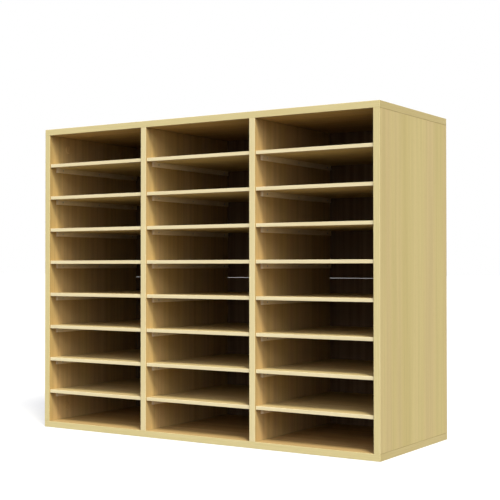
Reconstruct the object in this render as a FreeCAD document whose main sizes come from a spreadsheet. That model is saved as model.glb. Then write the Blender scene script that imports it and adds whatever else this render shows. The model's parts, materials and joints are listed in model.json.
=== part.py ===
"""Literature organizer: an open case of laminated board, three columns of nine compartments.

Millimetres. X runs to the right, Y from the open front to the back, and Z up. The origin lies
on the floor, under the middle of the case. Shelves and compartments are counted from below.
"""
import FreeCAD, Part
import os
import Sketcher
from FreeCAD import Placement, Rotation, Vector

COLUMNS = ("left", "middle", "right")
ROWS = 9
SHELF_ROWS = range(1, ROWS)
UPRIGHTS = ("left_side", "left_divider", "right_divider", "right_side")
NAILS_ACROSS_COLUMN = 2

SIZES = {
    # The case
    "width": 743.0,
    "height": 595.0,
    "depth": 280.0,
    "panel_thickness": 12.0,
    "band_thickness": 0.6,
    "band_rounding": 0.5,
    # The lowest compartments, which are a little lower than the others
    "bottom_row_height": 56.3,
    # The loose shelves
    "shelf_thickness": 6.5,
    "shelf_recess": 2.0,
    "shelf_side_gap": 0.5,
    "shelf_rear_gap": 1.0,
    # The strips that the shelves lie on, and their brads
    "strip_height": 9.0,
    "strip_width": 5.0,
    "strip_setback": 19.0,
    "strip_rear_gap": 4.0,
    "strip_rounding": 1.5,
    "brad_diameter": 1.2,
    "brad_head_diameter": 2.6,
    "brad_head_thickness": 0.4,
    "brad_bite": 4.5,
    "brad_point": 1.2,
    "brad_from_end": 15.0,
    # The two back sheets, their rebate and their nails
    "back_thickness": 3.0,
    "back_inset": 1.0,
    "back_edge_gap": 0.3,
    "back_joint_gap": 0.3,
    "rebate_width": 6.0,
    "nail_diameter": 1.6,
    "nail_head_diameter": 4.0,
    "nail_head_thickness": 0.6,
    "nail_bite": 15.0,
    "nail_point": 3.2,
    "nail_from_corner": 25.0,
    # The cam locks, bolts, dowels and covers at both ends of each upright
    "cam_diameter": 12.0,
    "cam_floor": 1.8,
    "cam_floor_gap": 0.25,
    "cam_from_end": 24.0,
    "cam_from_edge": 55.0,
    "cam_recess_length": 6.0,
    "cam_recess_width": 1.3,
    "cam_recess_depth": 1.4,
    "bolt_thread_diameter": 5.0,
    "bolt_bite": 9.0,
    "bolt_point": 1.25,
    "bolt_neck_diameter": 3.4,
    "bolt_head_diameter": 4.6,
    "bolt_head_length": 3.0,
    "bolt_overreach": 1.0,
    "dowel_diameter": 6.0,
    "dowel_length": 24.0,
    "dowel_bite": 8.0,
    "dowel_chamfer": 0.8,
    "dowel_from_edge": 95.0,
    "cover_diameter": 16.0,
    "cover_thickness": 1.0,
    "cover_bevel": 0.5,
    # The play around hardware in its holes
    "hole_play": 0.05,
    "hole_end_gap": 0.5,
}

# Lengths and levels that follow from the sizes
COLUMN_WIDTH = f"((Size.width - {len(UPRIGHTS)} * Size.panel_thickness) / {len(COLUMNS)})"
UPRIGHT_HEIGHT = "(Size.height - 2 * Size.panel_thickness)"
SHELF_PITCH = f"(({UPRIGHT_HEIGHT} - Size.bottom_row_height) / {len(SHELF_ROWS)})"
BOARD_DEPTH = "(Size.depth - Size.band_thickness)"
REBATE_DEPTH = "(Size.back_inset + Size.back_thickness)"
SHELF_DEPTH = f"(Size.depth - {REBATE_DEPTH} - Size.shelf_rear_gap - Size.shelf_recess)"
STRIP_LENGTH = f"(Size.depth - {REBATE_DEPTH} - Size.strip_rear_gap - Size.strip_setback)"
CAM_HEIGHT = "(Size.panel_thickness - Size.cam_floor - Size.cam_floor_gap)"
LEFT = "-Size.width / 2"
FRONT = "-Size.depth / 2"
REAR = "Size.depth / 2"

X_AXIS = Vector(1, 0, 0)
Y_AXIS = Vector(0, 1, 0)
Z_AXIS = Vector(0, 0, 1)


def upright_x(number):
    """The left face of an upright, counted from 0 at the left side panel."""
    return f"({LEFT} + {number} * ({COLUMN_WIDTH} + Size.panel_thickness))"


def shelf_level(row):
    """The underside of a shelf, which is also the top of its strips."""
    return f"(Size.panel_thickness + Size.bottom_row_height + {row - 1} * {SHELF_PITCH})"


def from_both_edges(distance):
    """The two places that far behind the front edge and ahead of the rear edge of the case."""
    return [distance, f"(Size.depth - {distance})"]


def turned(x_axis, z_axis):
    """The rotation that lays a piece's own X and Z axes along two directions."""
    return Rotation(x_axis, Vector(), z_axis, "ZXY")


def make_sheet(doc):
    sheet = doc.addObject("Spreadsheet::Sheet", "Size")
    for row, (alias, value) in enumerate(SIZES.items(), start=1):
        sheet.set(f"A{row}", alias)
        sheet.set(f"B{row}", str(value))
        sheet.setAlias(f"B{row}", alias)
    doc.recompute()


def value_of(doc, expression):
    return float(doc.getObject("Size").evalExpression(expression))


def place(piece, x, y, z):
    for axis, expression in zip("xyz", (x, y, z)):
        piece.setExpression(f"Placement.Base.{axis}", expression)


def add_box(doc, name, length, width, height):
    box = doc.addObject("Part::Box", name)
    box.setExpression("Length", length)
    box.setExpression("Width", width)
    box.setExpression("Height", height)
    return box


def add_compound(doc, name, pieces):
    compound = doc.addObject("Part::Compound", name)
    compound.Links = pieces
    return compound


def add_group(doc, name, piece, spots):
    """Copies of one piece as a node of separate solids, one at each (x, y, z, rotation)."""
    copies = []
    for number, (x, y, z, rotation) in enumerate(spots, start=1):
        copy = doc.addObject("App::Link", f"{name}_{number}")
        copy.LinkedObject = piece
        copy.Placement = Placement(Vector(), rotation)
        place(copy, x, y, z)
        copies.append(copy)
    return add_compound(doc, name, copies)


def add_sketch(body, role, level="0"):
    """A sketch on one of the body's own base planes, moved along its normal to a level."""
    plane = next(item for item in body.Origin.OriginFeatures if item.Role == role)
    sketch = body.newObject("Sketcher::SketchObject", f"{body.Label}_sketch")
    sketch.AttachmentSupport = [(plane, "")]
    sketch.MapMode = "FlatFace"
    sketch.setExpression("AttachmentOffset.Base.z", level)
    return sketch


def pin_point(sketch, geometry, point, place_xy):
    """Hold one point of a sketch at an (x, y) of expressions, measured from its origin."""
    for kind, expression in zip(("DistanceX", "DistanceY"), place_xy):
        start = value_of(sketch.Document, expression)
        number = sketch.addConstraint(Sketcher.Constraint(kind, -1, 1, geometry, point, start))
        sketch.setExpression(f"Constraints[{number}]", expression)


def draw_outline(sketch, corners):
    """A closed outline of straight lines through corners that are pairs of expressions."""
    points = [Vector(*(value_of(sketch.Document, part) for part in corner), 0) for corner in corners]
    count = len(points)
    for number in range(count):
        following = points[(number + 1) % count]
        sketch.addGeometry(Part.LineSegment(points[number], following), False)
    for number in range(count):
        sketch.addConstraint(Sketcher.Constraint("Coincident", number, 2, (number + 1) % count, 1))
    for number, corner in enumerate(corners):
        pin_point(sketch, number, 1, corner)


def draw_rectangle(sketch, low, high):
    draw_outline(sketch, [low, (high[0], low[1]), high, (low[0], high[1])])


def draw_circles(sketch, centres, diameter):
    for centre in centres:
        middle = Vector(*(value_of(sketch.Document, part) for part in centre), 0)
        radius = value_of(sketch.Document, diameter) / 2
        number = sketch.addGeometry(Part.Circle(middle, Z_AXIS, radius), False)
        pin_point(sketch, number, 3, centre)
        size = sketch.addConstraint(Sketcher.Constraint("Diameter", number, 2 * radius))
        sketch.setExpression(f"Constraints[{size}]", diameter)


def pad(body, sketch, length, against_normal=False):
    feature = body.newObject("PartDesign::Pad", f"{body.Label}_pad")
    feature.Profile = sketch
    feature.Reversed = against_normal
    feature.setExpression("Length", length)
    body.Document.recompute()


def pocket(body, sketch, depth, along_normal=False):
    """Cut a sketch into the body: against the sketch's normal, unless it says along."""
    whole = body.Shape.Volume
    feature = body.newObject("PartDesign::Pocket", f"{body.Label}_pocket")
    feature.Profile = sketch
    feature.Reversed = along_normal
    feature.setExpression("Length", depth)
    body.Document.recompute()
    if not body.Shape.Volume < whole:
        raise RuntimeError(f"a pocket of {body.Label} removes nothing")


def round_edges(body, places, radius):
    """Round the body's edges whose middles lie at the given points."""
    middles = [edge.CenterOfMass for edge in body.Shape.Edges]
    nearest = []
    for point in places:
        distances = [(middle - point).Length for middle in middles]
        nearest.append(f"Edge{distances.index(min(distances)) + 1}")
    sharp = body.Tip
    rounding = body.newObject("PartDesign::Fillet", f"{body.Label}_rounding")
    rounding.Base = (sharp, nearest)
    rounding.setExpression("Radius", radius)
    body.Document.recompute()


def turn(doc, name, outline):
    """A round piece about its own Z axis, from an outline of (radius, height) pairs."""
    body = doc.addObject("PartDesign::Body", name)
    sketch = add_sketch(body, "XZ_Plane")
    draw_outline(sketch, outline)
    feature = body.newObject("PartDesign::Revolution", f"{name}_revolution")
    feature.Profile = sketch
    feature.ReferenceAxis = (sketch, ["V_Axis"])
    feature.Angle = 360
    return body


def hole_diameter(piece_diameter):
    return f"({piece_diameter} + 2 * Size.hole_play)"


def cross_panel(doc, name, level, inner_level, inner_side_down):
    """The top or bottom board, drilled and rebated in the face that looks into the case."""
    board = doc.addObject("PartDesign::Body", name)
    base = add_sketch(board, "XY_Plane")
    draw_rectangle(base, ("0", "0"), ("Size.width - 2 * Size.band_thickness", BOARD_DEPTH))
    pad(board, base, "Size.panel_thickness")

    def inner_sketch():
        return add_sketch(board, "XY_Plane", inner_level)

    def upright_middle(number):
        middle = f"{upright_x(number)} + Size.panel_thickness / 2"
        return f"({middle} + Size.width / 2 - Size.band_thickness)"

    def holes(distance):
        return [(upright_middle(number), f"({y} - Size.band_thickness)")
                for number in range(len(UPRIGHTS)) for y in from_both_edges(distance)]

    bolt_holes = inner_sketch()
    draw_circles(bolt_holes, holes("Size.cam_from_edge"), hole_diameter("Size.bolt_thread_diameter"))
    pocket(board, bolt_holes, "Size.bolt_bite + Size.hole_end_gap", inner_side_down)
    dowel_holes = inner_sketch()
    draw_circles(dowel_holes, holes("Size.dowel_from_edge"), hole_diameter("Size.dowel_diameter"))
    pocket(board, dowel_holes, "Size.dowel_bite + Size.hole_end_gap", inner_side_down)
    rebate = inner_sketch()
    side = "Size.panel_thickness - Size.rebate_width - Size.band_thickness"
    other_side = "Size.width - Size.panel_thickness + Size.rebate_width - Size.band_thickness"
    draw_rectangle(rebate, (side, f"{BOARD_DEPTH} - {REBATE_DEPTH}"), (other_side, BOARD_DEPTH))
    pocket(board, rebate, "Size.rebate_width", inner_side_down)
    place(board, f"{LEFT} + Size.band_thickness", f"{FRONT} + Size.band_thickness", level)
    return board


def upright_section(name):
    """The corners of an upright seen from above. The side panels have a rebate for the back."""
    width = "Size.panel_thickness"
    rebate_floor = f"{BOARD_DEPTH} - {REBATE_DEPTH}"
    if name == "left_side":
        lip = "Size.panel_thickness - Size.rebate_width"
        return [("0", "0"), (width, "0"), (width, rebate_floor), (lip, rebate_floor),
                (lip, BOARD_DEPTH), ("0", BOARD_DEPTH)]
    if name == "right_side":
        lip = "Size.rebate_width"
        return [("0", "0"), (width, "0"), (width, BOARD_DEPTH), (lip, BOARD_DEPTH),
                (lip, rebate_floor), ("0", rebate_floor)]
    return [("0", "0"), (width, "0"), (width, rebate_floor), ("0", rebate_floor)]


def upright(doc, number, name):
    """A side panel or divider, drilled in both ends and in the face that holds the cams."""
    board_name = f"{name}_panel" if name.endswith("side") else name
    board = doc.addObject("PartDesign::Body", board_name)
    section = add_sketch(board, "XY_Plane")
    draw_outline(section, upright_section(name))
    pad(board, section, UPRIGHT_HEIGHT)

    def along_end(distance):
        return [("Size.panel_thickness / 2", f"({y} - Size.band_thickness)")
                for y in from_both_edges(distance)]

    for level, upwards in (("0", True), (UPRIGHT_HEIGHT, False)):
        bolt_holes = add_sketch(board, "XY_Plane", level)
        draw_circles(bolt_holes, along_end("Size.cam_from_edge"),
                     hole_diameter("Size.bolt_head_diameter"))
        pocket(board, bolt_holes, "Size.cam_from_end", upwards)
        dowel_holes = add_sketch(board, "XY_Plane", level)
        draw_circles(dowel_holes, along_end("Size.dowel_from_edge"),
                     hole_diameter("Size.dowel_diameter"))
        pocket(board, dowel_holes, "Size.dowel_length - Size.dowel_bite + Size.hole_end_gap", upwards)

    faces_right = cams_face_right(name)
    cam_face = "Size.panel_thickness" if faces_right else "0"
    cam_pockets = add_sketch(board, "YZ_Plane", cam_face)
    levels = ("Size.cam_from_end", f"({UPRIGHT_HEIGHT} - Size.cam_from_end)")
    centres = [(f"({y} - Size.band_thickness)", z)
               for y in from_both_edges("Size.cam_from_edge") for z in levels]
    draw_circles(cam_pockets, centres, hole_diameter("Size.cam_diameter"))
    pocket(board, cam_pockets, "Size.panel_thickness - Size.cam_floor", not faces_right)
    place(board, upright_x(number), f"{FRONT} + Size.band_thickness", "Size.panel_thickness")
    return board


def cams_face_right(name):
    """The left side panel can only be drilled from its right face; the others from the left."""
    return name == "left_side"


def edge_band(doc, name, length, height, ends_rounded=True):
    """A band whose outer face lies in the XZ plane, with the edges of that face rounded."""
    band = doc.addObject("PartDesign::Body", name)
    face = add_sketch(band, "XZ_Plane")
    draw_rectangle(face, ("0", "0"), (length, height))
    pad(band, face, "Size.band_thickness", against_normal=True)
    x = value_of(doc, length)
    z = value_of(doc, height)
    low_and_high = [Vector(x / 2, 0, 0), Vector(x / 2, 0, z)]
    ends = [Vector(0, 0, z / 2), Vector(x, 0, z / 2)]
    round_edges(band, low_and_high + ends if ends_rounded else low_and_high, "Size.band_rounding")
    return band


def edge_bands(doc):
    """The bands on the front edges, and on the ends of the top and bottom boards."""
    bands = []
    top_level = "Size.height - Size.panel_thickness"
    for name, level in (("bottom_edge_band", "0"), ("top_edge_band", top_level)):
        band = edge_band(doc, name, "Size.width", "Size.panel_thickness")
        place(band, LEFT, FRONT, level)
        bands.append(band)
    for number, name in enumerate(UPRIGHTS):
        band = edge_band(doc, f"{name}_edge_band", "Size.panel_thickness", UPRIGHT_HEIGHT)
        place(band, upright_x(number), FRONT, "Size.panel_thickness")
        bands.append(band)
    end = edge_band(doc, "end_edge_band", BOARD_DEPTH, "Size.panel_thickness", ends_rounded=False)
    spots = []
    for level in ("0", top_level):
        spots.append((LEFT, REAR, level, turned(-Y_AXIS, Z_AXIS)))
        spots.append(("Size.width / 2", f"{FRONT} + Size.band_thickness", level, turned(Y_AXIS, Z_AXIS)))
    bands.append(add_group(doc, "end_edge_bands", end, spots))
    return bands


def back_sheets(doc):
    """Two sheets in the rebate, one above the other, with a hair's gap at mid-height."""
    side = f"{LEFT} + Size.panel_thickness - Size.rebate_width + Size.back_edge_gap"
    width = ("Size.width - 2 * Size.panel_thickness + 2 * Size.rebate_width"
             " - 2 * Size.back_edge_gap")
    sheet_height = (f"{UPRIGHT_HEIGHT} / 2 + Size.rebate_width"
                    " - Size.back_edge_gap - Size.back_joint_gap / 2")
    low = "Size.panel_thickness - Size.rebate_width + Size.back_edge_gap"
    middle = "Size.height / 2 + Size.back_joint_gap / 2"
    sheets = []
    for name, level in (("lower_back_sheet", low), ("upper_back_sheet", middle)):
        sheet = add_box(doc, name, width, "Size.back_thickness", sheet_height)
        place(sheet, side, f"{REAR} - {REBATE_DEPTH}", level)
        sheets.append(sheet)
    return sheets


def shelves(doc):
    """Each shelf is a thin board with a band glued to its front edge."""
    width = f"{COLUMN_WIDTH} - 2 * Size.shelf_side_gap"
    band = edge_band(doc, "shelf_band", width, "Size.shelf_thickness")
    board = add_box(doc, "shelf_board", width, f"{SHELF_DEPTH} - Size.band_thickness",
                    "Size.shelf_thickness")
    place(board, "0", "Size.band_thickness", "0")
    made = []
    for number, column in enumerate(COLUMNS):
        x = f"{upright_x(number)} + Size.panel_thickness + Size.shelf_side_gap"
        for row in SHELF_ROWS:
            shelf = add_compound(doc, f"{column}_shelf_{row}", [board, band])
            place(shelf, x, f"{FRONT} + Size.shelf_recess", shelf_level(row))
            made.append(shelf)
    return made


def wall_faces():
    """Each face that carries strips: its name, its X and the way that it looks."""
    faces = []
    last = len(UPRIGHTS) - 1
    for number, name in enumerate(UPRIGHTS):
        left_face = upright_x(number)
        right_face = f"({upright_x(number)} + Size.panel_thickness)"
        if number > 0:
            side_name = "right_side" if number == last else f"{name}_left"
            faces.append((side_name, left_face, -1))
        if number < last:
            side_name = "left_side" if number == 0 else f"{name}_right"
            faces.append((side_name, right_face, 1))
    return faces


def support_strip(doc):
    """One strip, with its wall side at X = 0, its front end at Y = 0 and its top at Z = 0."""
    strip = doc.addObject("PartDesign::Body", "support_strip")
    section = add_sketch(strip, "XZ_Plane")
    draw_rectangle(section, ("0", "-Size.strip_height"), ("Size.strip_width", "0"))
    pad(strip, section, STRIP_LENGTH, against_normal=True)
    low_outer_edge = Vector(value_of(doc, "Size.strip_width"), value_of(doc, STRIP_LENGTH) / 2,
                            -value_of(doc, "Size.strip_height"))
    round_edges(strip, [low_outer_edge], "Size.strip_rounding")
    return strip


def support_strips(doc):
    strip = support_strip(doc)
    front_end = f"{FRONT} + Size.strip_setback"
    groups = []
    for name, x, way in wall_faces():
        y = front_end if way > 0 else f"{front_end} + {STRIP_LENGTH}"
        rotation = turned(X_AXIS * way, Z_AXIS)
        spots = [(x, y, shelf_level(row), rotation) for row in SHELF_ROWS]
        groups.append(add_group(doc, f"{name}_support_strips", strip, spots))
    return groups


def pin_outline(head_radius, head_thickness, radius, length, point):
    """A nail's outline: its flat head above Z = 0, and its pointed shank below."""
    shoulder = f"-({length} - {point})"
    return [("0", head_thickness), ("0", f"-({length})"), (radius, shoulder), (radius, "0"),
            (head_radius, "0"), (head_radius, head_thickness)]


def support_brads(doc):
    brad = turn(doc, "support_brad", pin_outline(
        "Size.brad_head_diameter / 2", "Size.brad_head_thickness", "Size.brad_diameter / 2",
        "Size.strip_width + Size.brad_bite", "Size.brad_point"))
    along = ("Size.brad_from_end", f"{STRIP_LENGTH} / 2", f"{STRIP_LENGTH} - Size.brad_from_end")
    spots = []
    for name, x, way in wall_faces():
        rotation = turned(Z_AXIS, X_AXIS * way)
        for row in SHELF_ROWS:
            level = f"{shelf_level(row)} - Size.strip_height / 2"
            for distance in along:
                spots.append((f"{x} + {way} * Size.strip_width",
                              f"{FRONT} + Size.strip_setback + {distance}", level, rotation))
    return add_group(doc, "support_brads", brad, spots)


def back_nails(doc):
    nail = turn(doc, "back_nail", pin_outline(
        "Size.nail_head_diameter / 2", "Size.nail_head_thickness", "Size.nail_diameter / 2",
        "Size.back_thickness + Size.nail_bite", "Size.nail_point"))
    half_land = "Size.rebate_width / 2"
    low_land = f"Size.panel_thickness - {half_land}"
    high_land = f"Size.height - Size.panel_thickness + {half_land}"
    middle = "Size.height / 2"
    corner = "Size.nail_from_corner"
    levels = [f"Size.panel_thickness + {corner}", f"({low_land} + {middle}) / 2", f"{middle} - {corner}",
              f"{middle} + {corner}", f"({high_land} + {middle}) / 2",
              f"Size.height - Size.panel_thickness - {corner}"]
    last = len(UPRIGHTS) - 1
    upright_lines = []
    for number in range(len(UPRIGHTS)):
        inward = {0: f"Size.panel_thickness - {half_land}", last: half_land}
        offset = inward.get(number, "Size.panel_thickness / 2")
        upright_lines.append(f"{upright_x(number)} + {offset}")
    places = [(x, z) for x in upright_lines for z in levels]
    for number in range(len(COLUMNS)):
        column_start = f"{upright_x(number)} + Size.panel_thickness"
        for share in range(1, NAILS_ACROSS_COLUMN + 1):
            x = f"{column_start} + {share} * {COLUMN_WIDTH} / {NAILS_ACROSS_COLUMN + 1}"
            places += [(x, low_land), (x, high_land)]
    rotation = turned(X_AXIS, Y_AXIS)
    spots = [(x, f"{REAR} - Size.back_inset", z, rotation) for x, z in places]
    return add_group(doc, "back_nails", nail, spots)


def joint_places(distance):
    """Where hardware crosses the end of an upright: the upright, x, y, z and the way into it."""
    places = []
    for number, name in enumerate(UPRIGHTS):
        x = f"{upright_x(number)} + Size.panel_thickness / 2"
        for y in from_both_edges(distance):
            places.append((name, x, f"{FRONT} + {y}", "Size.panel_thickness", 1))
            places.append((name, x, f"{FRONT} + {y}", "Size.height - Size.panel_thickness", -1))
    return places


def cam_lock(doc):
    """One cam: its face at Z = 0, and the mouth for the bolt's head on its +X side."""
    cam = doc.addObject("PartDesign::Body", "cam_lock")
    disc = add_sketch(cam, "XY_Plane")
    draw_circles(disc, [("0", "0")], "Size.cam_diameter")
    pad(cam, disc, CAM_HEIGHT, against_normal=True)
    mouth = add_sketch(cam, "YZ_Plane", "-(Size.bolt_overreach + Size.hole_end_gap)")
    draw_circles(mouth, [("0", "-Size.panel_thickness / 2")],
                 hole_diameter("Size.bolt_head_diameter"))
    pocket(cam, mouth, "Size.cam_diameter", along_normal=True)
    reach = "Size.cam_recess_length / 2"
    half = "Size.cam_recess_width / 2"
    quarter = [(reach, half), (half, half), (half, reach)]
    cross = list(quarter)
    cross += [(f"-{x}", y) for x, y in reversed(quarter)]
    cross += [(f"-{x}", f"-{y}") for x, y in quarter]
    cross += [(x, f"-{y}") for x, y in reversed(quarter)]
    recess = add_sketch(cam, "XY_Plane")
    draw_outline(recess, cross)
    pocket(cam, recess, "Size.cam_recess_depth")
    return cam


def cams_and_covers(doc):
    cam = cam_lock(doc)
    radius = "Size.cover_diameter / 2"
    top = "Size.cover_thickness"
    cover = turn(doc, "cam_cover", [
        ("0", "0"), (radius, "0"), (radius, f"{top} - Size.cover_bevel"),
        (f"{radius} - Size.cover_bevel", top), ("0", top)])
    spots = []
    for name, x, y, z, way in joint_places("Size.cam_from_edge"):
        outwards = 1 if cams_face_right(name) else -1
        face = f"{x} + {outwards} * Size.panel_thickness / 2"
        rotation = turned(Z_AXIS * -way, X_AXIS * outwards)
        spots.append((face, y, f"{z} + {way} * Size.cam_from_end", rotation))
    return [add_group(doc, "cam_locks", cam, spots), add_group(doc, "cam_covers", cover, spots)]


def bolts_and_dowels(doc):
    """Both lie across the joint at Z = 0: below it in the top or bottom, above in the upright."""
    thread = "Size.bolt_thread_diameter / 2"
    neck = "Size.bolt_neck_diameter / 2"
    head = "Size.bolt_head_diameter / 2"
    tip = "(Size.cam_from_end + Size.bolt_overreach)"
    under_head = f"{tip} - Size.bolt_head_length"
    bolt = turn(doc, "cam_bolt", [
        ("0", "-Size.bolt_bite"), (f"{thread} - Size.bolt_point", "-Size.bolt_bite"),
        (thread, "Size.bolt_point - Size.bolt_bite"), (thread, "0"), (neck, "0"),
        (neck, under_head), (head, under_head), (head, tip), ("0", tip)])
    radius = "Size.dowel_diameter / 2"
    chamfer = "Size.dowel_chamfer"
    low = "-Size.dowel_bite"
    high = "Size.dowel_length - Size.dowel_bite"
    dowel = turn(doc, "dowel", [
        ("0", low), (f"{radius} - {chamfer}", low), (radius, f"{low} + {chamfer}"),
        (radius, f"{high} - {chamfer}"), (f"{radius} - {chamfer}", high), ("0", high)])
    groups = []
    for name, piece, distance in (("cam_bolts", bolt, "Size.cam_from_edge"),
                                  ("dowels", dowel, "Size.dowel_from_edge")):
        spots = [(x, y, z, turned(X_AXIS, Z_AXIS * way))
                 for _, x, y, z, way in joint_places(distance)]
        groups.append(add_group(doc, name, piece, spots))
    return groups


def make_parts(doc):
    top_level = "Size.height - Size.panel_thickness"
    parts = [cross_panel(doc, "bottom_panel", "0", "Size.panel_thickness", False),
             cross_panel(doc, "top_panel", top_level, "0", True)]
    parts += [upright(doc, number, name) for number, name in enumerate(UPRIGHTS)]
    parts += edge_bands(doc)
    parts += back_sheets(doc)
    parts += shelves(doc)
    parts += support_strips(doc)
    parts.append(support_brads(doc))
    parts.append(back_nails(doc))
    parts += cams_and_covers(doc)
    parts += bolts_and_dowels(doc)
    doc.recompute()
    return parts


def check(doc, parts):
    for item in doc.Objects:
        if "Invalid" in item.State or "Error" in item.State:
            raise RuntimeError(f"{item.Label} has state {item.State}")
    for part in parts:
        if part.Shape.isNull() or not part.Shape.isValid() or not part.Shape.Solids:
            raise RuntimeError(f"{part.Label} has no valid solid")


def main():
    doc = FreeCAD.newDocument("literature_organizer")
    make_sheet(doc)
    parts = make_parts(doc)
    check(doc, parts)
    os.makedirs("parts", exist_ok=True)
    for part in parts:
        part.Shape.exportStep(f"parts/{part.Label}.step")
    print(f"{len(parts)} parts, {sum(len(part.Shape.Solids) for part in parts)} solids")


main()
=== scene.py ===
"""The finishes of the literature organizer, with a floor, studio light and a camera. Metres."""
import json
import math

import bpy
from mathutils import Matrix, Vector


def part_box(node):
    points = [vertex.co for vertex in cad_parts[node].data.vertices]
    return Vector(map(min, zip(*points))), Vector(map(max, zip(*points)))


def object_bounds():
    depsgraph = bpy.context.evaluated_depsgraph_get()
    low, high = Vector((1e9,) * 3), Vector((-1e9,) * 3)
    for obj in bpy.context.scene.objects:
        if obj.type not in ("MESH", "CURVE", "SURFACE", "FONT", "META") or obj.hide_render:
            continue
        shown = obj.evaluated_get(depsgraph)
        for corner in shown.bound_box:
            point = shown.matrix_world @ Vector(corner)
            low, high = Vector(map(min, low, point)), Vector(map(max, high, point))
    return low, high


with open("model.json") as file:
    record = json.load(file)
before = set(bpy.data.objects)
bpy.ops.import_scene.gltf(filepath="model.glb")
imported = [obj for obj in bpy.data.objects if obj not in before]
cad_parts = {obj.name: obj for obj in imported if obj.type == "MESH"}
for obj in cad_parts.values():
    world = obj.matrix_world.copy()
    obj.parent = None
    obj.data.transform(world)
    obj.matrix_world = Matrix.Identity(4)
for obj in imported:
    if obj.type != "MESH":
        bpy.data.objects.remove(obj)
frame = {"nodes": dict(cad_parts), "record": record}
CAD_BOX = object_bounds()

X_AXIS = 0
Y_AXIS = 1
Z_AXIS = 2

# Places on the part
CASE_SIDE = CAD_BOX[1].x
CASE_TOP = CAD_BOX[1].z
SHELF_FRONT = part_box("left_shelf_1")[0].y
SHELF_BAND_THICKNESS = 0.0006
SHELF_BAND_BACK = SHELF_FRONT + SHELF_BAND_THICKNESS
LOWER_JOINT, UPPER_JOINT = (corner.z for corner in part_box("right_side_panel"))

# Distances from a joint, a face or a band at which one finish fades into the next, such as into the
# painted shade of the seam at a joint
JOINT_LINE_FULL = 0.0005
JOINT_LINE_END = 0.0011
OUTER_FACE_START = 0.0004
OUTER_FACE_FULL = 0.0001
BAND_FADE = 0.00002

# Colours, in linear values
WHITE = (1.0, 1.0, 1.0)
WARM_WHITE = (1.0, 0.985, 0.86)
OUTER_TONES = ((0.560, 0.460, 0.208), (0.517, 0.419, 0.179), (0.552, 0.431, 0.213))
# The inside faces: the same laminate painted warmer and more saturated, standing in for the warm
# light inside the case
INNER_TONES_PAINTED_WARM_LIGHT = ((0.585, 0.411, 0.164), (0.525, 0.354, 0.133), (0.560, 0.376, 0.164))
# The shelves: the same laminate painted paler, standing in for light bounced onto their tops and
# undersides
SHELF_TONES_PAINTED_LIGHT = ((0.660, 0.520, 0.245), (0.600, 0.460, 0.205), (0.635, 0.480, 0.240))
GRAIN_FLECK = (0.350, 0.235, 0.095)
# Painted shade of the seam where the uprights meet the top and bottom panels
JOINT_PAINTED_SHADE = (0.370, 0.285, 0.120)
BAND_PALE = (0.740, 0.628, 0.318)
BAND_DEEP = (0.690, 0.578, 0.272)
DIVIDER_BAND_PALE = (0.820, 0.700, 0.400)
DIVIDER_BAND_DEEP = (0.765, 0.645, 0.345)
END_BAND_PALE = (0.505, 0.405, 0.165)
END_BAND_DEEP = (0.465, 0.365, 0.142)
SHELF_BAND_PALE = (0.875, 0.765, 0.485)
SHELF_BAND_DEEP = (0.820, 0.700, 0.420)
CHIP_PALE = (0.640, 0.470, 0.265)
CHIP_DARK = (0.230, 0.135, 0.060)
# The back's dark print, darkened further as painted shade deep inside the case; the pale one also
# colours specks in the bare fibre
PRINT_PAINTED_SHADE_AND_SPECK_PALE = (0.230, 0.150, 0.085)
PRINT_DEEP_PAINTED_SHADE = (0.165, 0.102, 0.055)
FIBRE_PALE = (0.335, 0.205, 0.105)
FIBRE_DARK = (0.175, 0.098, 0.045)
STRIP_PALE = (0.900, 0.780, 0.560)
STRIP_DEEP = (0.855, 0.730, 0.505)
STEEL_PALE = (0.640, 0.640, 0.645)
STEEL_DEEP = (0.380, 0.375, 0.365)
PLATED_PALE = (0.690, 0.690, 0.660)
PLATED_DEEP = (0.450, 0.445, 0.410)
ZINC_PALE = (0.570, 0.580, 0.600)
ZINC_DEEP = (0.330, 0.335, 0.350)
COVER_PALE = (0.590, 0.400, 0.165)
COVER_DEEP = (0.515, 0.340, 0.130)
BEECH_PALE = (0.680, 0.510, 0.300)
BEECH_DEEP = (0.500, 0.345, 0.185)

PLAIN_GLOSS = 0.25
LAMINATE_GLOSS = 0.08
HARDBOARD_GLOSS = 0.1
SHELF_BAND_ROUGHNESS = 0.4
HARDBOARD_PRINT_ROUGHNESS = 0.5
DOWEL_ROUGHNESS = 0.75
CORE_ROUGHNESS = 0.9
FLOOR_ROUGHNESS = 0.9
METAL_ROUGHNESS_SPREAD = 0.16

# Depth of the fine relief, and how many times deeper the raw core's is than the laminate's
BOARD_RELIEF = 0.00006
BAND_RELIEF = 0.00004
STRIP_RELIEF = 0.00003
HARDBOARD_RELIEF = 0.00015
METAL_RELIEF = 0.00004
COVER_RELIEF = 0.00005
DOWEL_RELIEF = 0.0001
CORE_RELIEF_RATIO = 6.0

# Each lamp: the direction in which it lies, its level, its angle in degrees and its colour
LAMPS = {
    "key": ((0.485, -0.391, 0.782), 0.88, 16.0, WARM_WHITE),
    "high_side": ((0.72, -0.45, 0.53), 0.37, 40.0, WHITE),
    "low_side": ((0.87, -0.48, 0.10), 0.13, 40.0, WHITE),
    "front": ((0.0, -0.90, 0.42), 0.12, 40.0, WHITE),
    "rear": ((-0.70, 0.70, 0.12), 0.34, 30.0, WHITE),
}
AMBIENT = (0.44, 0.45, 0.515)

# The floor throws back light as FLOOR_COLOUR. The eye sees FLOOR_SEEN, lifted to white by a glow.
FLOOR_SIZE = 60.0
FLOOR_COLOUR = (0.12, 0.11, 0.11)
FLOOR_SEEN = (0.55, 0.55, 0.55)
FLOOR_LIFT = 0.47

CAMERA_PLACE = (1.1728, -1.7797, 0.3214)
CAMERA_ANGLES = (90.829, 0.021, 32.762)
CAMERA_LENS = 79.41
CAMERA_SENSOR = 36.0

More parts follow.
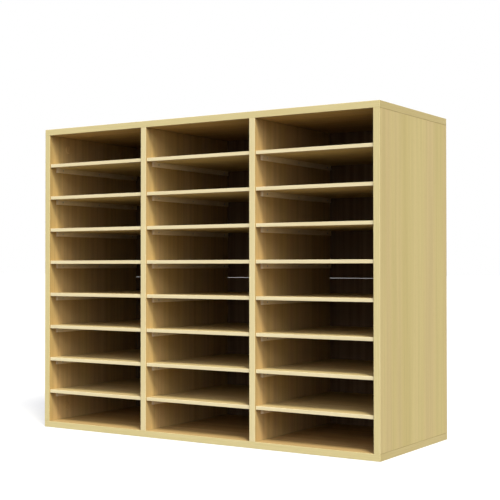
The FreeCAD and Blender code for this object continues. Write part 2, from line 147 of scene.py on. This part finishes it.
# Sockets of the Mix node: by number, since it has several of the same name
MIX_AMOUNT = 0
VALUE_A = 2
VALUE_B = 3
VALUE_OUT = 0
COLOUR_A = 6
COLOUR_B = 7
COLOUR_OUT = 2


class Finish:
    """A material, with short calls for the nodes that the finishes share."""

    def __init__(self, name, gloss=PLAIN_GLOSS):
        self.material = bpy.data.materials.new(name)
        self.material.use_nodes = True
        self.nodes = self.material.node_tree.nodes
        self.links = self.material.node_tree.links
        self.shader = self.nodes["Principled BSDF"]
        self.shader.inputs["Specular IOR Level"].default_value = gloss
        coordinates = self.nodes.new("ShaderNodeTexCoord")
        self.position = coordinates.outputs["Object"]
        self.normal = coordinates.outputs["Normal"]

    def feed(self, socket, source):
        """Link a socket to an output, or set it to a number, a vector or a colour."""
        if isinstance(source, bpy.types.NodeSocket):
            self.links.new(source, socket)
        elif isinstance(source, tuple) and socket.type == "RGBA":
            socket.default_value = (*source, 1.0)
        else:
            socket.default_value = source

    def math(self, operation, first, second=0.0):
        node = self.nodes.new("ShaderNodeMath")
        node.operation = operation
        self.feed(node.inputs[0], first)
        self.feed(node.inputs[1], second)
        return node.outputs[0]

    def stretch(self, vector, scales):
        node = self.nodes.new("ShaderNodeVectorMath")
        node.operation = "MULTIPLY"
        self.feed(node.inputs[0], vector)
        self.feed(node.inputs[1], scales)
        return node.outputs[0]

    def split(self, vector):
        node = self.nodes.new("ShaderNodeSeparateXYZ")
        self.feed(node.inputs[0], vector)
        return node.outputs

    def noise(self, scales, detail=2.0, roughness=0.5, distortion=0.0):
        """Noise with the given number of features per metre along X, Y and Z."""
        node = self.nodes.new("ShaderNodeTexNoise")
        self.feed(node.inputs["Vector"], self.stretch(self.position, scales))
        self.feed(node.inputs["Scale"], 1.0)
        self.feed(node.inputs["Detail"], detail)
        self.feed(node.inputs["Roughness"], roughness)
        self.feed(node.inputs["Distortion"], distortion)
        return node.outputs["Fac"]

    def cells(self, scales):
        """Voronoi cells: the distance from each cell's middle, and the cell's own colour."""
        node = self.nodes.new("ShaderNodeTexVoronoi")
        self.feed(node.inputs["Vector"], self.stretch(self.position, scales))
        self.feed(node.inputs["Scale"], 1.0)
        return node.outputs["Distance"], node.outputs["Color"]

    def rise(self, value, low, high, to_low=0.0, to_high=1.0):
        """A smooth step from to_low to to_high, as the value goes from low to high."""
        node = self.nodes.new("ShaderNodeMapRange")
        node.interpolation_type = "SMOOTHSTEP"
        for name, source in (("Value", value), ("From Min", low), ("From Max", high),
                             ("To Min", to_low), ("To Max", to_high)):
            self.feed(node.inputs[name], source)
        return node.outputs["Result"]

    def mix(self, amount, first, second, how="MIX"):
        node = self.nodes.new("ShaderNodeMix")
        node.data_type = "RGBA"
        node.blend_type = how
        self.feed(node.inputs[MIX_AMOUNT], amount)
        self.feed(node.inputs[COLOUR_A], first)
        self.feed(node.inputs[COLOUR_B], second)
        return node.outputs[COLOUR_OUT]

    def mix_value(self, amount, first, second):
        node = self.nodes.new("ShaderNodeMix")
        self.feed(node.inputs[MIX_AMOUNT], amount)
        self.feed(node.inputs[VALUE_A], first)
        self.feed(node.inputs[VALUE_B], second)
        return node.outputs[VALUE_OUT]

    def grey(self, value):
        """The same value in all three channels of a colour."""
        node = self.nodes.new("ShaderNodeCombineColor")
        for socket in node.inputs:
            self.feed(socket, value)
        return node.outputs[0]

    def finish(self, colour, roughness, height=None, relief=0.0):
        """Connect the shader, with a relief in metres where there is a height."""
        self.feed(self.shader.inputs["Base Color"], colour)
        self.feed(self.shader.inputs["Roughness"], roughness)
        if height is not None:
            bump = self.nodes.new("ShaderNodeBump")
            self.feed(bump.inputs["Height"], height)
            self.feed(bump.inputs["Distance"], relief)
            self.links.new(bump.outputs[0], self.shader.inputs["Normal"])
        return self.material


def along(axis, lengthwise, crosswise):
    """Scales for a grain that runs along an axis: features per metre along it and across it."""
    return tuple(lengthwise if number == axis else crosswise for number in range(3))


def laminate(finish, axis, tones, outer=0.0):
    """Printed maple laminate with its grain along an axis: its colour, roughness and height.

    The tones are a pale, a deep and a pink one. Where outer is 1, the outer faces' tones take over.
    The inside faces' tones are the same laminate painted warmer, standing in for the warm light
    inside the case, and the shelves' tones are painted paler, standing in for light bounced onto
    them; the streaks darken the inside faces more.
    """
    broad = finish.rise(finish.noise(along(axis, 0.5, 17.0), detail=1.0), 0.36, 0.64)
    tint = finish.rise(finish.noise(along(axis, 0.6, 26.0), detail=1.0), 0.40, 0.66, 0.0, 0.8)
    streaks = finish.noise(along(axis, 2.2, 120.0), detail=3.0, roughness=0.6)
    lines = finish.noise(along(axis, 7.0, 640.0), detail=2.0)
    flecks = finish.noise(along(axis, 75.0, 1300.0), detail=1.0)
    prints = [finish.mix(tint, finish.mix(broad, pale, deep), pink)
              for pale, deep, pink in (tones, OUTER_TONES)]
    colour = finish.mix(outer, *prints)
    darkest = finish.mix_value(outer, 0.86, 0.95)
    shade = finish.rise(streaks, 0.34, 0.70, 1.03, darkest)
    shade = finish.math("MULTIPLY", shade, finish.rise(lines, 0.38, 0.66, 1.01, 0.975))
    colour = finish.mix(1.0, colour, finish.grey(shade), "MULTIPLY")
    fleck = finish.rise(flecks, 0.62, 0.74, 0.0, 0.25)
    colour = finish.mix(fleck, colour, GRAIN_FLECK)
    roughness = finish.rise(streaks, 0.3, 0.7, 0.55, 0.65)
    height = finish.math("SUBTRACT", finish.math("MULTIPLY", lines, 0.5), fleck)
    return colour, roughness, height


def chipboard(finish, thin_axis):
    """The raw core: flat chips that lie along the board, with the dark gaps between them."""
    from_middle, chip_colour = finish.cells(along(thin_axis, 900.0, 300.0))
    fine = finish.noise(along(thin_axis, 2600.0, 900.0), detail=3.0, roughness=0.65)
    tone = finish.split(chip_colour)[0]
    colour = finish.mix(finish.rise(tone, 0.0, 1.0), CHIP_DARK, CHIP_PALE)
    colour = finish.mix(finish.rise(fine, 0.35, 0.7, 0.0, 0.55), colour, CHIP_DARK)
    gap = finish.rise(from_middle, 0.45, 0.75)
    height = finish.math("SUBTRACT", finish.math("MULTIPLY", fine, 0.6), gap)
    return colour, height


def outer_face(finish, axis, middle, half):
    """1 on the case's two outermost faces across an axis, and 0 inside them."""
    place = finish.split(finish.position)[axis]
    distance = finish.math("ABSOLUTE", finish.math("SUBTRACT", place, middle))
    return finish.rise(distance, half - OUTER_FACE_START, half - OUTER_FACE_FULL)


def joint_shade(finish):
    """1 in the thin lines where the uprights meet the panels over and under them: painted shade of
    the seam.
    """
    place = finish.split(finish.position)[Z_AXIS]
    lower = finish.rise(place, LOWER_JOINT + JOINT_LINE_FULL, LOWER_JOINT + JOINT_LINE_END, 1.0, 0.0)
    upper = finish.rise(place, UPPER_JOINT - JOINT_LINE_END, UPPER_JOINT - JOINT_LINE_FULL)
    return finish.math("MAXIMUM", lower, upper)


def band(finish, axis, pale, deep):
    """Edge band with fine faint lines along its length: its colour, and the lines as its height."""
    lines = finish.noise(along(axis, 9.0, 700.0), detail=2.0)
    drift = finish.noise(along(axis, 6.0, 60.0), detail=1.0)
    colour = finish.mix(finish.rise(lines, 0.34, 0.68), pale, deep)
    return finish.mix(finish.rise(drift, 0.4, 0.7, 0.0, 0.35), colour, deep), lines


def bare_core(finish, thin_axis, raw, colour, roughness, height):
    """The given finish with the board's core in its place, where raw is 1."""
    core, core_height = chipboard(finish, thin_axis)
    core_height = finish.math("MULTIPLY", core_height, CORE_RELIEF_RATIO)
    return (finish.mix(raw, colour, core), finish.mix_value(raw, roughness, CORE_ROUGHNESS),
            finish.mix_value(raw, height, core_height))


def board_material(name, grain_axis, thin_axis):
    """A case board: laminate on its faces, and raw core on its front and rear edges."""
    finish = Finish(name, LAMINATE_GLOSS)
    if thin_axis == X_AXIS:
        outer = outer_face(finish, X_AXIS, 0.0, CASE_SIDE)
    else:
        outer = outer_face(finish, Z_AXIS, CASE_TOP / 2, CASE_TOP / 2)
    # Inside faces take a warmer painted-light copy of the laminate, outer faces their own tones
    colour, roughness, height = laminate(finish, grain_axis, INNER_TONES_PAINTED_WARM_LIGHT, outer)
    if thin_axis == X_AXIS:
        # Painted shade of the seam along the joints with the top and bottom panels
        colour = finish.mix(joint_shade(finish), colour, JOINT_PAINTED_SHADE)
    facing = finish.math("ABSOLUTE", finish.split(finish.normal)[Y_AXIS])
    raw = finish.rise(facing, 0.6, 0.8)
    colour, roughness, height = bare_core(finish, thin_axis, raw, colour, roughness, height)
    return finish.finish(colour, roughness, height, BOARD_RELIEF)


def shelf_material():
    """A shelf: laminate above and below, raw core on its ends and rear, and its front band."""
    finish = Finish("shelf_laminate", LAMINATE_GLOSS)
    # A paler painted-light copy of the laminate, standing in for light bounced onto the shelves
    colour, roughness, height = laminate(finish, X_AXIS, SHELF_TONES_PAINTED_LIGHT)
    facing = finish.math("ABSOLUTE", finish.split(finish.normal)[Z_AXIS])
    raw = finish.rise(facing, 0.8, 0.6)
    colour, roughness, height = bare_core(finish, Z_AXIS, raw, colour, roughness, height)
    front, front_height = band(finish, X_AXIS, SHELF_BAND_PALE, SHELF_BAND_DEEP)
    place = finish.split(finish.position)[Y_AXIS]
    on_band = finish.rise(place, SHELF_BAND_BACK, SHELF_BAND_BACK - BAND_FADE)
    colour = finish.mix(on_band, colour, front)
    roughness = finish.mix_value(on_band, roughness, SHELF_BAND_ROUGHNESS)
    height = finish.mix_value(on_band, height, front_height)
    return finish.finish(colour, roughness, height, BOARD_RELIEF)


def band_material(name, axis, pale, deep):
    finish = Finish(name)
    colour, lines = band(finish, axis, pale, deep)
    return finish.finish(colour, finish.rise(lines, 0.3, 0.7, 0.36, 0.46), lines, BAND_RELIEF)


def strip_material():
    """Beige extruded plastic, with faint draw lines along its length."""
    finish = Finish("strip_plastic")
    lines = finish.noise((1500.0, 14.0, 1500.0), detail=2.0)
    mottle = finish.noise((60.0, 60.0, 60.0), detail=3.0)
    colour = finish.mix(finish.rise(mottle, 0.3, 0.7), STRIP_PALE, STRIP_DEEP)
    shade = finish.rise(lines, 0.3, 0.7, 1.0, 0.95)
    colour = finish.mix(1.0, colour, finish.grey(shade), "MULTIPLY")
    return finish.finish(colour, finish.rise(lines, 0.3, 0.7, 0.42, 0.55), lines, STRIP_RELIEF)


def hardboard_material():
    """Hardboard: a dark wood print on the face inside the case, made darker still as painted shade
    of the case's deep inside, and bare brown fibre elsewhere.
    """
    finish = Finish("hardboard", HARDBOARD_GLOSS)
    streaks = finish.noise(along(Z_AXIS, 3.0, 130.0), detail=3.0, roughness=0.6)
    # Dark print with painted shade of the case's deep inside
    print_with_painted_shade = finish.mix(finish.rise(streaks, 0.34, 0.68), PRINT_PAINTED_SHADE_AND_SPECK_PALE, PRINT_DEEP_PAINTED_SHADE)
    fibres = finish.noise((520.0, 520.0, 520.0), detail=5.0, roughness=0.75, distortion=1.5)
    clouds = finish.noise((14.0, 14.0, 14.0), detail=3.0)
    specks = finish.noise((1700.0, 1700.0, 1700.0), detail=1.0)
    bare = finish.mix(finish.rise(fibres, 0.36, 0.66), FIBRE_PALE, FIBRE_DARK)
    bare = finish.mix(finish.rise(clouds, 0.35, 0.7, 0.0, 0.35), bare, FIBRE_DARK)
    bare = finish.mix(finish.rise(specks, 0.66, 0.76, 0.0, 0.5), bare, PRINT_PAINTED_SHADE_AND_SPECK_PALE)
    inside = finish.rise(finish.split(finish.normal)[Y_AXIS], -0.6, -0.8)
    colour = finish.mix(inside, bare, print_with_painted_shade)
    roughness = finish.rise(fibres, 0.3, 0.7, 0.72, 0.9)
    roughness = finish.mix_value(inside, roughness, HARDBOARD_PRINT_ROUGHNESS)
    height = finish.mix_value(inside, fibres, finish.math("MULTIPLY", streaks, 0.2))
    return finish.finish(colour, roughness, height, HARDBOARD_RELIEF)


def metal_material(name, pale, deep, grain, rough):
    """Bare or plated metal: cloudy tarnish, and a fine grain in features per metre."""
    finish = Finish(name)
    finish.shader.inputs["Metallic"].default_value = 1.0
    clouds = finish.noise((260.0, 260.0, 260.0), detail=3.0)
    fine = finish.noise((grain, grain, grain), detail=2.0)
    colour = finish.mix(finish.rise(clouds, 0.35, 0.68), pale, deep)
    roughness = finish.rise(fine, 0.3, 0.7, rough, rough + METAL_ROUGHNESS_SPREAD)
    return finish.finish(colour, roughness, fine, METAL_RELIEF)


def cover_material():
    """A wood-tone plastic cover with a fine moulded texture."""
    finish = Finish("cover_plastic")
    streaks = finish.noise(along(Z_AXIS, 60.0, 420.0), detail=2.0)
    pebbles = finish.noise((2400.0, 2400.0, 2400.0), detail=1.0)
    colour = finish.mix(finish.rise(streaks, 0.35, 0.66), COVER_PALE, COVER_DEEP)
    return finish.finish(colour, finish.rise(pebbles, 0.3, 0.7, 0.42, 0.56), pebbles, COVER_RELIEF)


def dowel_material():
    """Bare beech, with short dark rays along the dowel."""
    finish = Finish("beech_dowel")
    streaks = finish.noise(along(Z_AXIS, 40.0, 900.0), detail=3.0)
    rays = finish.noise(along(Z_AXIS, 420.0, 2600.0), detail=1.0)
    colour = finish.mix(finish.rise(streaks, 0.35, 0.66), BEECH_PALE, BEECH_DEEP)
    colour = finish.mix(finish.rise(rays, 0.62, 0.72, 0.0, 0.5), colour, BEECH_DEEP)
    return finish.finish(colour, DOWEL_ROUGHNESS, streaks, DOWEL_RELIEF)


def dress(node_names, material):
    for name in node_names:
        for slot in frame["nodes"][name].material_slots:
            slot.material = material


def nodes_with(slot):
    """The nodes that have a material slot in the record."""
    return [part["node"] for part in frame["record"]["subparts"] if part["material_slot"] == slot]


def dress_boards():
    uprights = ["left_side_panel", "left_divider", "right_divider", "right_side_panel"]
    dress(uprights, board_material("upright_laminate", Z_AXIS, X_AXIS))
    dress(["top_panel", "bottom_panel"], board_material("cross_panel_laminate", X_AXIS, Z_AXIS))
    dress(nodes_with("shelf_board"), shelf_material())


def dress_bands():
    dress(["top_edge_band", "bottom_edge_band"],
          band_material("cross_band", X_AXIS, BAND_PALE, BAND_DEEP))
    dress(["end_edge_bands"],
          band_material("end_band", Y_AXIS, END_BAND_PALE, END_BAND_DEEP))
    dress(["left_side_edge_band", "right_side_edge_band"],
          band_material("side_band", Z_AXIS, BAND_PALE, BAND_DEEP))
    dress(["left_divider_edge_band", "right_divider_edge_band"],
          band_material("divider_band", Z_AXIS, DIVIDER_BAND_PALE, DIVIDER_BAND_DEEP))


def dress_hardware():
    dress(nodes_with("strip_plastic"), strip_material())
    dress(nodes_with("hardboard"), hardboard_material())
    dress(nodes_with("nail_steel"),
          metal_material("nail_steel", STEEL_PALE, STEEL_DEEP, grain=3000.0, rough=0.34))
    dress(nodes_with("bolt_steel"),
          metal_material("bolt_steel", PLATED_PALE, PLATED_DEEP, grain=2200.0, rough=0.28))
    dress(nodes_with("cam_zinc"),
          metal_material("cam_zinc", ZINC_PALE, ZINC_DEEP, grain=1400.0, rough=0.45))
    dress(nodes_with("cover_plastic"), cover_material())
    dress(nodes_with("dowel_wood"), dowel_material())


def seen_directly(nodes, links):
    """1 for rays from the camera, and for mirrored and refracted ones."""
    path = nodes.new("ShaderNodeLightPath")
    total = path.outputs["Is Camera Ray"]
    for name in ("Is Glossy Ray", "Is Transmission Ray"):
        larger = nodes.new("ShaderNodeMath")
        larger.operation = "MAXIMUM"
        links.new(total, larger.inputs[0])
        links.new(path.outputs[name], larger.inputs[1])
        total = larger.outputs[0]
    return total


def make_world():
    """Plain white to the eye, and a weak even light on the object."""
    world = bpy.data.worlds.new("studio")
    world.use_nodes = True
    nodes = world.node_tree.nodes
    links = world.node_tree.links
    background = nodes["Background"]
    colour = nodes.new("ShaderNodeMix")
    colour.data_type = "RGBA"
    links.new(seen_directly(nodes, links), colour.inputs[MIX_AMOUNT])
    colour.inputs[COLOUR_A].default_value = (*AMBIENT, 1.0)
    colour.inputs[COLOUR_B].default_value = (*WHITE, 1.0)
    links.new(colour.outputs[COLOUR_OUT], background.inputs["Color"])
    bpy.context.scene.world = world


def make_floor():
    """A floor that looks white, with the object's shadow on it, and throws little light back."""
    half = FLOOR_SIZE / 2
    corners = [(-half, -half, 0.0), (half, -half, 0.0), (half, half, 0.0), (-half, half, 0.0)]
    mesh = bpy.data.meshes.new("floor")
    mesh.from_pydata(corners, [], [(0, 1, 2, 3)])
    floor = bpy.data.objects.new("floor", mesh)
    bpy.context.scene.collection.objects.link(floor)
    finish = Finish("floor", 0.0)
    eye = seen_directly(finish.nodes, finish.links)
    colour = finish.mix(eye, FLOOR_COLOUR, FLOOR_SEEN)
    finish.feed(finish.shader.inputs["Emission Color"], WHITE)
    finish.feed(finish.shader.inputs["Emission Strength"], finish.math("MULTIPLY", eye, FLOOR_LIFT))
    mesh.materials.append(finish.finish(colour, FLOOR_ROUGHNESS))


def add_sun(name, source, level, degrees, colour):
    """A soft distant light from a direction. A level of 1 shows a surface facing it as coloured."""
    light = bpy.data.lights.new(name, "SUN")
    light.color = colour
    light.energy = level * math.pi
    light.angle = math.radians(degrees)
    lamp = bpy.data.objects.new(name, light)
    lamp.rotation_euler = Vector(source).to_track_quat("Z", "Y").to_euler()
    bpy.context.scene.collection.objects.link(lamp)


def make_camera():
    data = bpy.data.cameras.new("camera")
    data.lens = CAMERA_LENS
    data.sensor_width = CAMERA_SENSOR
    camera = bpy.data.objects.new("camera", data)
    camera.location = CAMERA_PLACE
    camera.rotation_euler = [math.radians(angle) for angle in CAMERA_ANGLES]
    bpy.context.scene.collection.objects.link(camera)
    bpy.context.scene.camera = camera


dress_boards()
dress_bands()
dress_hardware()
make_world()
make_floor()
for lamp_name, lamp in LAMPS.items():
    add_sun(lamp_name, *lamp)
make_camera()
bpy.context.scene.view_settings.view_transform = "Standard"
